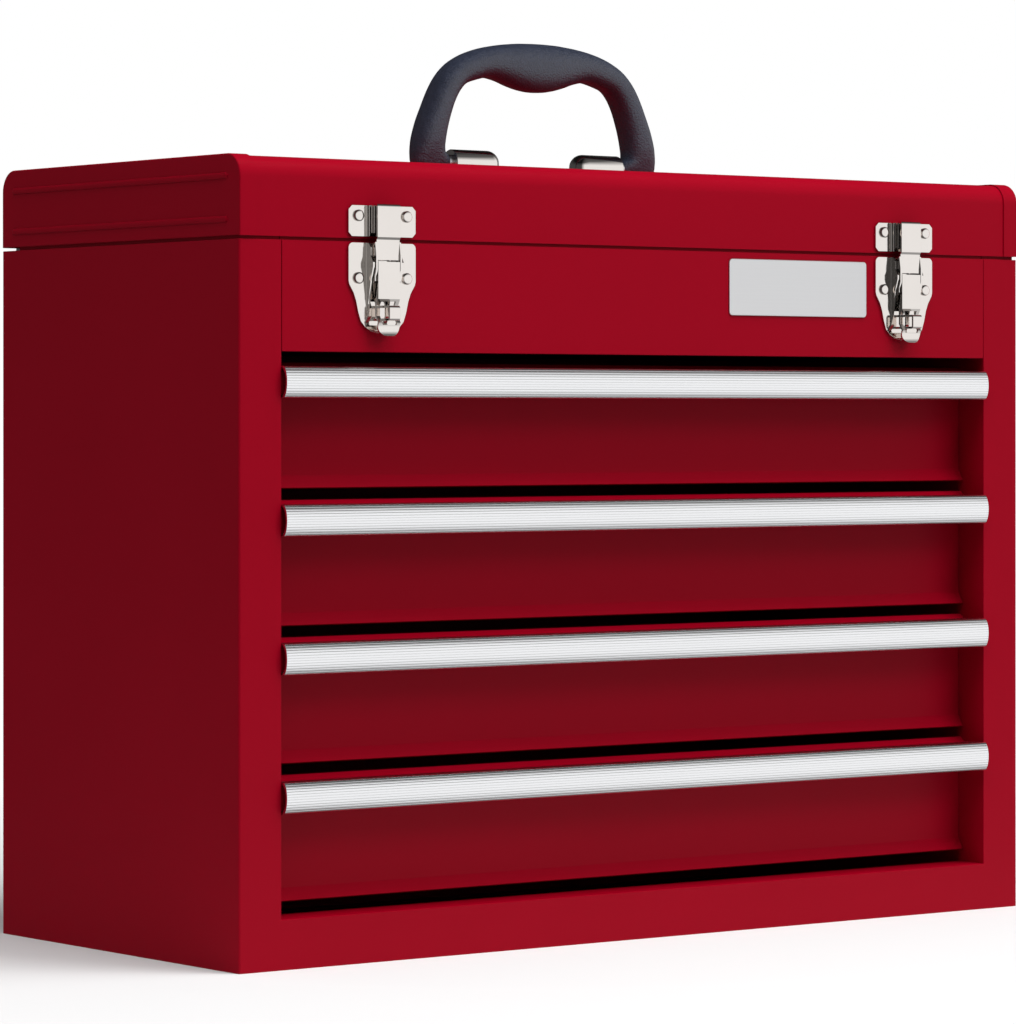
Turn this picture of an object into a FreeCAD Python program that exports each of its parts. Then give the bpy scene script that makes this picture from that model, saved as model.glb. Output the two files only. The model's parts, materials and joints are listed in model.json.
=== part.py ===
import FreeCAD, Part
import math
import operator
import os
import Sketcher
from FreeCAD import Placement, Rotation, Vector

# Portable tool box: a sheet steel cabinet with four drawers on ball slides, a compartment under
# a hinged lid, two draw latches and a folding carrying handle.
# Millimetres. X runs along the front from left to right, Y from the front to the back, Z up.
# The origin is the centre of the underside.

doc = FreeCAD.newDocument("tool_box")
sheet = doc.addObject("Spreadsheet::Sheet", "Sizes")

sizes = {
    # cabinet
    "width": 510,
    "depth": 219,
    "body_height": 352.6,
    "steel": 0.8,
    "corner_bend": 1.2,
    "stile_width": 24.5,
    "rail_height": 24.5,
    "return_depth": 21,
    "header_height": 53.8,
    "header_gap": 0.4,
    "tab_reach": 14,
    "tab_lap": 6,
    "tab_margin": 9,
    "foot_flange": 10,
    "foot_back_gap": 15,
    "back_foot": 9,
    "floor_flange": 12,
    "runner_flange": 12,
    "sheet_gap": 0.3,
    # upstand that the lid closes over
    "lip_inset": 1.8,
    "lip_rise": 8,
    "lip_end": 10,
    "lip_margin": 13.5,
    # lid
    "lid_gap": 1.7,
    "lid_height": 39,
    "lid_round": 10.5,
    "cap_steel": 0.7,
    "cap_lap": 10,
    "bead_width": 4,
    "bead_proud": 0.8,
    "bead_margin": 10,
    "bead_low": 8,
    "bead_high": 28.9,
    # piano hinge
    "hinge_end_gap": 11,
    "leaf_steel": 0.9,
    "leaf_height": 13,
    "knuckle_radius": 2.6,
    "knuckle_back": 0.3,
    "knuckle_count": 7,
    "knuckle_gap": 0.3,
    "hinge_pin_radius": 1.25,
    "leaf_notch": 0.5,
    "pin_clear": 0.05,
    # drawers
    "drawer_count": 4,
    "drawer_margin": 6.3,
    "first_pull": 14.8,
    "front_gap": 0.5,
    "recess": 19.5,
    "front_top": 11.2,
    "front_space": 4,
    "lip_bend": 6.3,
    "lip_run": 3.5,
    "bevel_run": 4,
    "shelf_drop": 3.8,
    "nose_inset": 1.8,
    "nose_top": 6.3,
    "nose_end": 6,
    "tray_lift": 1.8,
    "tray_drop": 2,
    "tray_back_gap": 9.5,
    "hem_width": 2.5,
    # aluminium pulls
    "pull_height": 15.5,
    "pull_proud": 4.4,
    "pull_edge_proud": 0.9,
    "pull_wall": 1.2,
    "pull_leg": 4.5,
    "pull_hook": 1.3,
    "pull_end_gap": 0.4,
    "seat_gap": 0.1,
    "flute_count": 10,
    "flute_pitch": 1.5,
    "flute_depth": 0.35,
    "flute_half": 0.45,
    # ball slides
    "slide_steel": 1,
    "slide_half": 15,
    "slide_front": 24,
    "slide_back_gap": 4.2,
    "slide_flange": 6.7,
    "slide_thick": 10,
    "inner_half": 9,
    "inner_flange": 6.7,
    "ball_radius": 2.4,
    "ball_clear": 0.1,
    "ball_reach": 5.3,
    "cage_steel": 0.5,
    "cage_gap": 0.2,
    "cage_front_gap": 72,
    "cage_back_gap": 18,
    "cage_edge": 2.9,
    "ball_count": 2,
    "ball_end": 20,
    # nameplate
    "plate_gap": 6.2,
    "plate_width": 94.8,
    "plate_low": 21,
    "plate_height": 29.5,
    "plate_thick": 0.8,
    "plate_cut": 1.2,
    # draw latches; heights are above the header's lower edge
    "latch_inset": 83.5,
    "latch_steel": 1.2,
    "latch_half": 20.2,
    "base_top_gap": 0.4,
    "base_height": 44.1,
    "base_round": 2.5,
    "cheek_inner": 8.1,
    "cheek_rise": 4.6,
    "cheek_boss": 2.2,
    "cheek_length": 36,
    "pivot_out": 4.2,
    "pivot_height": 42.7,
    "pivot_radius": 1.2,
    "lever_half": 6.5,
    "lever_out": 7,
    "lever_top": 1.4,
    "lever_boss": 2,
    "lever_bottom": 34.8,
    "lever_dip": 1.6,
    "lever_kick": 0.6,
    "tab_round": 5,
    "slot_half": 4.4,
    "slot_top": 18,
    "slot_height": 11.5,
    "link_pin_in": 0.5,
    "link_pin_drop": 7,
    "link_pin_radius": 1,
    "link_half": 6.9,
    "arm_inner": 6.8,
    "arm_steel": 1,
    "arm_boss": 2.2,
    "strap_bottom": 2.2,
    "strap_joggle": 0.9,
    "joggle_height": 12.2,
    "hook_spring": 28,
    "hook_leg": 12.5,
    "hook_gap": 0.4,
    "strike_low": 0.9,
    "strike_height": 15.3,
    "strike_round": 2,
    "bridge_half": 9.1,
    "bridge_rise": 3,
    "staple_half": 3.2,
    "staple_reach": 12,
    "staple_low": 15.2,
    "staple_height": 7.5,
    "staple_bend": 1.6,
    # carrying handle
    "handle_y": 9.3,
    "bracket_radius": 6.8,
    "bracket_gap": 0.5,
    "bracket_length": 30.2,
    "rod_radius": 4,
    "rod_inset": 5,
    "rod_past": 3.7,
    "handle_half": 70.3,
    "handle_rise": 53.3,
    "grip_across": 12.9,
    "grip_deep": 9,
    "grip_cut": 3.2,
    "foot_rise": 15,
    "foot_deep": 6.2,
    "foot_toe": 2.1,
    "foot_drop": 5.9,
}

# flat-faced balls: how much of its side each edge of a cube loses
ball_flat_share = 0.293
# half the side of a regular octagon, of its half width
octagon_share = 0.414
# station lines of the bail, from the foot to the middle of the grip: share of the half span,
# share of the rise, share of the grip's half height across the bail
bail_station_share = [
    (0.957, -0.111, 0.75), (0.966, 0.0, 0.93), (0.996, 0.085, 0.76), (0.993, 0.2, 0.675),
    (0.965, 0.36, 0.612), (0.910, 0.536, 0.55), (0.822, 0.767, 0.527), (0.667, 0.908, 0.57),
    (0.478, 0.994, 0.612), (0.242, 0.978, 0.868), (0, 0.965, 1),
]
# share of the bail's rise below which its feet are upright
foot_share = 0.21
# lower outline of a latch's base plate: share of its half width, share of its height
base_outline_share = [
    (1, 0.576), (0.975, 0.535), (0.851, 0.444), (0.777, 0.354), (0.713, 0.229),
    (0.634, 0.127), (0.510, 0.066), (0.356, 0.025), (0.160, 0.003),
]


class Size:
    # a size that carries both its value and the formula that the document keeps for it
    def __init__(self, value, text):
        self.value = float(value)
        self.text = text

    def __add__(self, other):
        return combine(self, "+", other)

    def __radd__(self, other):
        return combine(other, "+", self)

    def __sub__(self, other):
        return combine(self, "-", other)

    def __rsub__(self, other):
        return combine(other, "-", self)

    def __mul__(self, other):
        return combine(self, "*", other)

    def __rmul__(self, other):
        return combine(other, "*", self)

    def __truediv__(self, other):
        return combine(self, "/", other)

    def __neg__(self):
        return combine(-1, "*", self)


operations = {"+": operator.add, "-": operator.sub, "*": operator.mul, "/": operator.truediv}


def asSize(number):
    if isinstance(number, Size):
        return number
    return Size(number, repr(float(number)))


def combine(left, sign, right):
    left = asSize(left)
    right = asSize(right)
    return Size(operations[sign](left.value, right.value), f"({left.text} {sign} {right.text})")


def squareRoot(size):
    return Size(math.sqrt(size.value), f"sqrt({size.text})")


def bind(thing, name, size):
    size = asSize(size)
    thing.setExpression(name, size.text)


class Named:
    pass


mm = Named()
for row, (alias, value) in enumerate(sizes.items(), start=1):
    sheet.set(f"A{row}", alias)
    sheet.set(f"B{row}", str(value))
    sheet.setAlias(f"B{row}", alias)
    setattr(mm, alias, Size(value, f"Sizes.{alias}"))
doc.recompute()

nodes = []


def node(thing, label):
    thing.Label = label
    nodes.append(thing)
    return thing


# Sketches, pads and pockets. A point is (across, up) and may have a third value: the radius of
# an arc to the next point, positive where the arc turns left and negative where it turns right.

def originPlane(body, plane):
    for feature in body.Origin.OriginFeatures:
        if feature.Role == plane + "_Plane":
            return feature


def drawCircle(sketch, circle):
    x, y, radius = circle
    x, y, radius = asSize(x), asSize(y), asSize(radius)
    centre = Vector(x.value, y.value, 0)
    edge = sketch.addGeometry(Part.Circle(centre, Vector(0, 0, 1), radius.value))
    first = sketch.addConstraint(Sketcher.Constraint("DistanceX", -1, 1, edge, 3, x.value))
    sketch.addConstraint(Sketcher.Constraint("DistanceY", -1, 1, edge, 3, y.value))
    sketch.addConstraint(Sketcher.Constraint("Radius", edge, radius.value))
    for offset, size in enumerate((x, y, radius)):
        bind(sketch, f"Constraints[{first + offset}]", size)


def arcBetween(start, end, radius):
    # the short arc from start to end, with the ends' numbers in the sketch: arcs run left round
    half = (end - start) * 0.5
    left = Vector(-half.y, half.x, 0).normalize()
    height = math.sqrt(max(radius * radius - half.Length ** 2, 0))
    centre = start + half + left * (height if radius > 0 else -height)
    first, last = (start, end) if radius > 0 else (end, start)
    angles = [math.atan2(point.y - centre.y, point.x - centre.x) for point in (first, last)]
    circle = Part.Circle(centre, Vector(0, 0, 1), abs(radius))
    return Part.ArcOfCircle(circle, angles[0], angles[1]), (1, 2) if radius > 0 else (2, 1)


def drawLoop(sketch, loop):
    points = [Vector(asSize(corner[0]).value, asSize(corner[1]).value, 0) for corner in loop]
    edges = []
    for place, corner in enumerate(loop):
        start = points[place]
        end = points[(place + 1) % len(loop)]
        shape, ends = Part.LineSegment(start, end), (1, 2)
        if len(corner) == 3:
            shape, ends = arcBetween(start, end, asSize(corner[2]).value)
        edges.append((sketch.addGeometry(shape), ends))
    rules = []
    bound = []
    for place, corner in enumerate(loop):
        edge, ends = edges[place]
        following, followingEnds = edges[(place + 1) % len(loop)]
        rules.append(Sketcher.Constraint("Coincident", edge, ends[1], following, followingEnds[0]))
        for kind, size in zip(("DistanceX", "DistanceY"), corner):
            bound.append((len(rules), asSize(size)))
            rules.append(Sketcher.Constraint(kind, -1, 1, edge, ends[0], asSize(size).value))
        if len(corner) == 3:
            size = corner[2] if asSize(corner[2]).value > 0 else -corner[2]
            bound.append((len(rules), size))
            rules.append(Sketcher.Constraint("Radius", edge, size.value))
    first = sketch.ConstraintCount
    sketch.addConstraint(rules)
    for place, size in bound:
        bind(sketch, f"Constraints[{first + place}]", size)


def drawAll(sketch, loops):
    for loop in loops:
        if isinstance(loop, tuple):
            drawCircle(sketch, loop)
        else:
            drawLoop(sketch, loop)


def sketchOn(body, plane, level, loops, centre=(0, 0)):
    sketch = body.newObject("Sketcher::SketchObject", "Outline")
    sketch.AttachmentSupport = [(originPlane(body, plane), "")]
    sketch.MapMode = "FlatFace"
    bind(sketch, "AttachmentOffset.Base.x", centre[0])
    bind(sketch, "AttachmentOffset.Base.y", centre[1])
    bind(sketch, "AttachmentOffset.Base.z", level)
    drawAll(sketch, loops)
    return sketch


def newBody(name="Piece"):
    return doc.addObject("PartDesign::Body", name)


# a pad between two levels; the XZ plane's own direction is towards the front
def padBetween(body, plane, loops, low, high):
    level = -high if plane == "XZ" else low
    feature = body.newObject("PartDesign::Pad", "Pad")
    feature.Profile = sketchOn(body, plane, level, loops)
    bind(feature, "Length", high - low)
    doc.recompute()
    return feature


def pocketBetween(body, plane, loops, low, high):
    before = body.Shape.Volume
    level = -low if plane == "XZ" else high
    feature = body.newObject("PartDesign::Pocket", "Pocket")
    feature.Profile = sketchOn(body, plane, level, loops)
    bind(feature, "Length", high - low)
    doc.recompute()
    if body.Shape.Volume >= before:
        raise RuntimeError("a pocket cut nothing in " + body.Label)
    return feature


def prism(plane, loops, low, high):
    body = newBody()
    padBetween(body, plane, loops, low, high)
    return body


def middle(edge):
    return edge.valueAt((edge.FirstParameter + edge.LastParameter) / 2)


def dressEdges(body, kind, name, size, spots):
    # a fillet or chamfer on the edge whose middle is nearest to each spot
    base = body.Tip
    edges = base.Shape.Edges
    names = []
    for spot in spots:
        point = Vector(*(asSize(part).value for part in spot))
        distances = [middle(edge).distanceToPoint(point) for edge in edges]
        names.append(f"Edge{distances.index(min(distances)) + 1}")
    feature = body.newObject("PartDesign::" + kind, kind)
    feature.Base = (base, names)
    bind(feature, name, size)
    doc.recompute()
    return feature


def roundEdges(body, radius, spots):
    return dressEdges(body, "Fillet", "Radius", radius, spots)


def flattenEdges(body, size, spots):
    return dressEdges(body, "Chamfer", "Size", size, spots)


def rectangle(x0, y0, x1, y1):
    return [(x0, y0), (x1, y0), (x1, y1), (x0, y1)]


def cutRectangle(x, y, halfX, halfY, cut):
    # a rectangle about (x, y) whose corners are cut off
    loop = []
    for across, up in ((1, -1), (1, 1), (-1, 1), (-1, -1)):
        corner = [
            (x + across * halfX, y + up * (halfY - cut)),
            (x + across * (halfX - cut), y + up * halfY),
        ]
        loop += corner if across * up > 0 else corner[::-1]
    return loop


def octagon(x, y, half):
    return cutRectangle(x, y, half, half, half * (1 - octagon_share))


def mirrored(loop, side):
    # the same outline across the Y axis; an arc's turn changes with it
    result = []
    for corner in loop:
        place = (side * corner[0], corner[1])
        if len(corner) == 3:
            place = place + (side * corner[2],)
        result.append(place)
    return result


def ordered(first, second):
    return (first, second) if asSize(first).value < asSize(second).value else (second, first)


def placeAt(thing, x, y, z):
    bind(thing, "Placement.Base.x", x)
    bind(thing, "Placement.Base.y", y)
    bind(thing, "Placement.Base.z", z)


alongX = Rotation(Vector(0, 1, 0), 90)


def rod(radius, low, high, y, z):
    # a round bar along X
    bar = doc.addObject("Part::Cylinder", "Rod")
    bar.Placement = Placement(Vector(), alongX)
    bind(bar, "Radius", radius)
    bind(bar, "Height", high - low)
    placeAt(bar, low, y, z)
    return bar


def block(x0, x1, y0, y1, z0, z1):
    box = doc.addObject("Part::Box", "Block")
    bind(box, "Length", x1 - x0)
    bind(box, "Width", y1 - y0)
    bind(box, "Height", z1 - z0)
    placeAt(box, x0, y0, z0)
    return box


def ball(radius, x, y, z):
    # a small ball with flat faces, which fills the same room as a round one
    body = prism("XY", [rectangle(x - radius, y - radius, x + radius, y + radius)],
                 z - radius, z + radius)
    middles = [middle(edge) for edge in body.Shape.Edges]
    flattenEdges(body, radius * 2 * ball_flat_share, middles)
    return body


def fused(shapes):
    whole = doc.addObject("Part::MultiFuse", "Fusion")
    whole.Shapes = shapes
    return whole


def cutFrom(base, tool):
    rest = doc.addObject("Part::Cut", "Cut")
    rest.Base = base
    rest.Tool = tool
    return rest


def group(pieces):
    whole = doc.addObject("Part::Compound", "Group")
    whole.Links = pieces
    return whole


# Levels that several pieces share

front = -mm.depth / 2
back = mm.depth / 2
halfWidth = mm.width / 2
opening = halfWidth - mm.stile_width
headerLow = mm.body_height - mm.header_height
lidLow = mm.body_height + mm.lid_gap
lidTop = lidLow + mm.lid_height
innerFront = front + mm.steel
innerBack = back - mm.steel
innerHalf = halfWidth - mm.steel
floorLow = headerLow + mm.steel
runnerFace = opening + mm.steel
latchX = halfWidth - mm.latch_inset
sides = (-1, 1)


# Cabinet shell: sides, front stiles and bottom rail are one folded sheet, with returns round the
# drawer opening, flanges at the foot and an upstand that the lid closes over.

def sideLip(side):
    edge = halfWidth
    inner = halfWidth - mm.lip_inset
    return mirrored([
        (edge, mm.body_height - mm.steel),
        (edge, mm.body_height),
        (inner, mm.body_height),
        (inner, mm.body_height + mm.lip_rise),
        (inner - mm.steel, mm.body_height + mm.lip_rise),
        (inner - mm.steel, mm.body_height - mm.steel),
    ], side)


def lipSection():
    # the upstand in section from the side, set back from the front face
    outer = front + mm.lip_inset
    return [
        (front, mm.body_height - mm.steel),
        (outer + mm.steel, mm.body_height - mm.steel),
        (outer + mm.steel, mm.body_height + mm.lip_rise),
        (outer, mm.body_height + mm.lip_rise),
        (outer, mm.body_height),
        (front, mm.body_height),
    ]


def cabinetShell():
    frame = [
        (-halfWidth, asSize(0)), (halfWidth, asSize(0)),
        (halfWidth, mm.body_height), (opening, mm.body_height),
        (opening, mm.rail_height), (-opening, mm.rail_height),
        (-opening, mm.body_height), (-halfWidth, mm.body_height),
    ]
    body = prism("XZ", [frame], front, innerFront)
    walls = []
    returns = []
    for side in sides:
        near, far = ordered(side * innerHalf, side * halfWidth)
        walls.append(rectangle(near, front, far, back))
        near, far = ordered(side * opening, side * runnerFace)
        returns.append(rectangle(near, front, far, front + mm.return_depth))
    padBetween(body, "XY", walls, asSize(0), mm.body_height)
    padBetween(body, "XY", returns, mm.rail_height - mm.steel, floorLow)
    railLow = mm.rail_height - mm.steel
    railReturn = rectangle(front, railLow, front + mm.return_depth, mm.rail_height)
    padBetween(body, "YZ", [railReturn], -runnerFace, runnerFace)
    footInner = innerHalf - mm.foot_flange
    footStop = innerBack - mm.foot_back_gap
    foot = [
        (-innerHalf, innerFront), (innerHalf, innerFront),
        (innerHalf, footStop), (footInner, footStop),
        (footInner, innerFront + mm.foot_flange), (-footInner, innerFront + mm.foot_flange),
        (-footInner, footStop), (-innerHalf, footStop),
    ]
    padBetween(body, "XY", [foot], mm.steel, 2 * mm.steel)
    lips = [sideLip(side) for side in sides]
    padBetween(body, "XZ", lips, front + mm.lip_margin, back - mm.lip_margin)
    for side in sides:
        low, high = ordered(side * opening, side * (halfWidth - mm.lip_end))
        padBetween(body, "YZ", [lipSection()], low, high)
    roundEdges(body, mm.corner_bend, [(side * halfWidth, front, mm.body_height / 2) for side in sides])
    return node(body, "cabinet_shell")


cabinetShell()


# Header panel: set flush between the stiles, with a return below it, the front upstand above it
# and a tab behind each stile

def headerPanel():
    lipBack = front + mm.lip_inset + mm.steel
    section = [
        (front, headerLow), (front + mm.return_depth, headerLow),
        (front + mm.return_depth, floorLow), (innerFront, floorLow),
        (innerFront, mm.body_height - mm.steel), (lipBack, mm.body_height - mm.steel),
        (lipBack, mm.body_height + mm.lip_rise),
        (front + mm.lip_inset, mm.body_height + mm.lip_rise),
        (front + mm.lip_inset, mm.body_height), (front, mm.body_height),
    ]
    end = opening - mm.header_gap
    body = prism("YZ", [section], -end, end)
    tabs = []
    for side in sides:
        low, high = ordered(side * (end - mm.tab_lap), side * (opening + mm.tab_reach))
        tabs.append(rectangle(low, floorLow + mm.tab_margin, high, mm.body_height - mm.tab_margin))
    padBetween(body, "XZ", tabs, innerFront, innerFront + mm.steel)
    return node(body, "header_panel")


headerPanel()


# Back, underside, compartment floor and the two inner panels that carry the drawer slides

def backPanel():
    # welded along its edges to the cabinet's sides, with a foot turned in at the bottom
    body = prism("XY", [rectangle(-innerHalf, innerBack, innerHalf, back)], asSize(0), mm.body_height)
    foot = rectangle(innerBack - mm.back_foot, mm.steel, innerBack, 2 * mm.steel)
    padBetween(body, "YZ", [foot], -innerHalf, innerHalf)
    return node(body, "back_panel")


def bottomPanel():
    end = innerHalf - mm.sheet_gap
    plan = rectangle(-end, innerFront + mm.sheet_gap, end, innerBack - mm.sheet_gap)
    return node(prism("XY", [plan], asSize(0), mm.steel), "bottom_panel")


def compartmentFloor():
    # flanges turned down at both ends, and at the back between the runner panels
    end = innerHalf - mm.sheet_gap
    start = innerFront + mm.steel
    body = prism("XY", [rectangle(-end, start, end, innerBack)], floorLow, floorLow + mm.steel)
    rear = runnerFace - mm.sheet_gap
    flanges = [
        rectangle(-end, start, -end + mm.steel, innerBack),
        rectangle(end - mm.steel, start, end, innerBack),
        rectangle(-rear, innerBack - mm.steel, rear, innerBack),
    ]
    padBetween(body, "XY", flanges, floorLow - mm.floor_flange, floorLow)
    return node(body, "compartment_floor")


def runnerPanel(side, name):
    start = innerFront + 2 * mm.steel
    far = runnerFace + mm.steel + mm.runner_flange
    plan = mirrored([
        (runnerFace, start), (runnerFace + mm.steel, start),
        (runnerFace + mm.steel, innerBack - mm.steel), (far, innerBack - mm.steel),
        (far, innerBack), (runnerFace, innerBack),
    ], side)
    return node(prism("XY", [plan], 2 * mm.steel, floorLow), name)


backPanel()
bottomPanel()
compartmentFloor()
runnerPanel(-1, "left_runner_panel")
runnerPanel(1, "right_runner_panel")


# Lid: a cover bent over from front skirt to back skirt, and two end caps whose flanges wrap it

def skirtSection(outset, low, wall):
    # the lid in section: outer line, and the inner line one wall inside it
    radius = mm.lid_round + outset
    start = front - outset
    stop = back + outset
    top = lidTop + outset
    inner = radius - wall
    return [
        (start, low), (start + wall, low),
        (start + wall, top - radius, -inner), (start + radius, top - wall),
        (stop - radius, top - wall, -inner), (stop - wall, top - radius),
        (stop - wall, low), (stop, low),
        (stop, top - radius, radius), (stop - radius, top),
        (start + radius, top, radius), (start, top - radius),
    ]


def filledSection(outset, low):
    radius = mm.lid_round + outset
    start = front - outset
    stop = back + outset
    top = lidTop + outset
    return [
        (start, low), (stop, low),
        (stop, top - radius, radius), (stop - radius, top),
        (start + radius, top, radius), (start, top - radius),
    ]


capInner = halfWidth - mm.cap_steel


def lidCover():
    body = prism("YZ", [skirtSection(asSize(0), lidLow, mm.steel)], -capInner, capInner)
    return node(body, "lid_cover")


def lidCap(side, name):
    inner = side * (halfWidth - mm.cap_lap)
    outer = side * halfWidth
    lap = ordered(inner, outer)
    wall = ordered(side * capInner, outer)
    body = prism("YZ", [skirtSection(mm.cap_steel, lidLow, mm.cap_steel)], *lap)
    padBetween(body, "YZ", [filledSection(asSize(0), lidLow)], *wall)
    half = mm.bead_width / 2
    proud = halfWidth + mm.bead_proud
    for height in (mm.bead_low, mm.bead_high):
        centre = lidLow + height
        bead = mirrored([
            (capInner, centre - half), (halfWidth, centre - half),
            (proud, centre - half + mm.bead_proud), (proud, centre + half - mm.bead_proud),
            (halfWidth, centre + half), (capInner, centre + half),
        ], side)
        padBetween(body, "XZ", [bead], front + mm.bead_margin, back - mm.bead_margin)
    return node(body, name)


lidCover()
lidCap(-1, "lid_left_cap")
lidCap(1, "lid_right_cap")


# Piano hinge across the back: two leaves whose knuckles take turns along one pin

hingeY = back + mm.knuckle_back + mm.knuckle_radius
hingeZ = mm.body_height + mm.lid_gap / 2
hingeHalf = halfWidth - mm.hinge_end_gap
knuckleRun = 2 * hingeHalf / mm.knuckle_count
knuckleTotal = int(mm.knuckle_count.value)


def hingeLeaf(first, up, name):
    # up is 1 for the lid's leaf and -1 for the cabinet's
    near = hingeZ + up * (mm.knuckle_radius + mm.leaf_notch)
    far = hingeZ + up * (mm.knuckle_radius + mm.leaf_notch + mm.leaf_height)
    low, high = ordered(near, far)
    outer = back + mm.leaf_steel
    pieces = [block(-hingeHalf, hingeHalf, back, outer, low, high)]
    for place in range(first, knuckleTotal, 2):
        start = -hingeHalf + knuckleRun * place + mm.knuckle_gap / 2
        stop = start + knuckleRun - mm.knuckle_gap
        pieces.append(prism("YZ", [octagon(hingeY, hingeZ, mm.knuckle_radius)], start, stop))
        webLow, webHigh = ordered(hingeZ, near)
        pieces.append(block(start, stop, back + mm.knuckle_back, outer, webLow, webHigh))
    bore = rod(mm.hinge_pin_radius + mm.pin_clear, -hingeHalf, hingeHalf, hingeY, hingeZ)
    return node(cutFrom(fused(pieces), bore), name)


hingeLeaf(0, -1, "hinge_cabinet_leaf")
hingeLeaf(1, 1, "hinge_lid_leaf")
node(rod(mm.hinge_pin_radius, -hingeHalf, hingeHalf, hingeY, hingeZ), "hinge_pin")


# Drawers. Each has a tray, a folded front, an aluminium pull on the front's nose, and the inner
# members and ball cages of its two slides. Drawer 1 is at the top. The drawers share the height
# of the opening, and their fronts, trays and slides follow.

drawerTotal = int(mm.drawer_count.value)
drawerPitch = (headerLow - mm.rail_height - mm.drawer_margin) / mm.drawer_count
frontBottom = drawerPitch - mm.front_top - mm.front_space
trayBottom = frontBottom - mm.tray_lift
slideDrop = (trayBottom + mm.tray_drop) / 2


def drawerFront(centre):
    # folded sheet in section, from the splayed lip at the bottom up the recessed face, over the
    # bevel, along the shelf and down the nose that the pull grips
    face = front + mm.recess
    rear = face + mm.steel
    bevelFront = face - mm.bevel_run
    bottom = centre - frontBottom
    lipTop = bottom + mm.lip_bend
    top = centre + mm.front_top
    shelf = top - mm.shelf_drop
    nose = front + mm.nose_inset
    noseTop = centre + mm.nose_top
    section = [
        (face - mm.lip_run, bottom + mm.steel / 2), (face, lipTop),
        (face, top - 2 * mm.steel), (bevelFront, shelf - mm.steel),
        (nose + mm.steel, noseTop - mm.steel), (nose + mm.steel, centre - mm.nose_end),
        (nose, centre - mm.nose_end), (nose, noseTop),
        (bevelFront, shelf), (rear, top),
        (rear, lipTop), (rear - mm.lip_run, bottom),
    ]
    end = opening - mm.front_gap
    return prism("YZ", [section], -end, end)


pullHalf = mm.pull_height / 2
pullRise = mm.pull_proud - mm.pull_edge_proud
bulgeRadius = (pullHalf * pullHalf + pullRise * pullRise) / (2 * pullRise)


def drawerPull(centre):
    # a bowed, fluted face with a leg above and below the nose and a hook behind the nose's edge
    edge = front - mm.pull_edge_proud
    crown = front - mm.pull_proud
    legEnd = front + mm.pull_leg
    hookFront = front + mm.nose_inset + mm.steel + mm.seat_gap
    top = centre + pullHalf
    low = centre - pullHalf
    wall = mm.pull_wall
    innerRadius = bulgeRadius - wall
    innerHalfHeight = pullHalf - wall
    axis = crown + bulgeRadius
    innerEdge = axis - squareRoot(innerRadius * innerRadius - innerHalfHeight * innerHalfHeight)
    section = [
        (edge, top, bulgeRadius), (crown, centre, bulgeRadius), (edge, low),
        (legEnd, low), (legEnd, low + wall + mm.pull_hook), (hookFront, low + wall + mm.pull_hook),
        (hookFront, low + wall), (innerEdge, low + wall, -innerRadius),
        (axis - innerRadius, centre, -innerRadius), (innerEdge, top - wall),
        (legEnd, top - wall), (legEnd, top),
    ]
    end = opening - mm.pull_end_gap
    body = prism("YZ", [section], -end, end)
    span = mm.flute_pitch * (mm.flute_count - 1) / bulgeRadius * (180 / math.pi)
    flute = [
        (-bulgeRadius - mm.flute_depth, mm.flute_half * 2), (-bulgeRadius + mm.flute_depth, asSize(0)),
        (-bulgeRadius - mm.flute_depth, -mm.flute_half * 2),
    ]
    before = body.Shape.Volume
    groove = body.newObject("PartDesign::Pocket", "Flute")
    sketch = sketchOn(body, "YZ", end, [flute], (axis, centre))
    sketch.AttachmentOffset = Placement(Vector(), Rotation(Vector(0, 0, 1), span.value / 2))
    bind(sketch, "AttachmentOffset.Rotation.Angle", span / 2)
    groove.Profile = sketch
    groove.Type = "ThroughAll"
    doc.recompute()
    row = body.newObject("PartDesign::PolarPattern", "Flutes")
    row.Originals = [groove]
    row.Axis = (sketch, ["N_Axis"])
    row.Reversed = True
    bind(row, "Angle", span)
    bind(row, "Occurrences", mm.flute_count)
    body.Tip = row
    doc.recompute()
    if body.Shape.Volume >= before:
        raise RuntimeError("the flutes cut nothing")
    return body


trayHalf = runnerFace - mm.slide_thick
trayFront = front + mm.recess + mm.steel
trayBack = innerBack - mm.tray_back_gap


def drawerTray(centre):
    low = centre - trayBottom
    top = centre - mm.tray_drop
    body = prism("XY", [rectangle(-trayHalf, trayFront, trayHalf, trayBack)], low, top)
    inside = rectangle(-trayHalf + mm.steel, trayFront + mm.steel, trayHalf - mm.steel, trayBack - mm.steel)
    pocketBetween(body, "XY", [inside], low + mm.steel, top)
    hemInside = rectangle(-trayHalf + mm.hem_width, trayFront + mm.steel,
                          trayHalf - mm.hem_width, trayBack - mm.hem_width)
    hemOutside = rectangle(-trayHalf, trayFront, trayHalf, trayBack)
    padBetween(body, "XY", [hemOutside, hemInside], top - mm.steel, top)
    return body


slideFront = front + mm.slide_front
slideBack = innerBack - mm.slide_back_gap


def cabinetMember(side, height):
    # channel open towards the drawer, against the runner panel
    web = runnerFace - mm.slide_steel
    reach = web - mm.slide_flange
    inner = mm.slide_half - mm.slide_steel
    section = mirrored([
        (runnerFace, height - mm.slide_half), (runnerFace, height + mm.slide_half),
        (reach, height + mm.slide_half), (reach, height + inner),
        (web, height + inner), (web, height - inner),
        (reach, height - inner), (reach, height - mm.slide_half),
    ], side)
    return prism("XZ", [section], slideFront, slideBack)


def drawerMember(side, height):
    # smaller channel on the tray's side, open towards the cabinet
    web = trayHalf + mm.slide_steel
    reach = web + mm.inner_flange
    inner = mm.inner_half - mm.slide_steel
    section = mirrored([
        (trayHalf, height - mm.inner_half), (reach, height - mm.inner_half),
        (reach, height - inner), (web, height - inner),
        (web, height + inner), (reach, height + inner),
        (reach, height + mm.inner_half), (trayHalf, height + mm.inner_half),
    ], side)
    return prism("XZ", [section], slideFront, slideBack)


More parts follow.
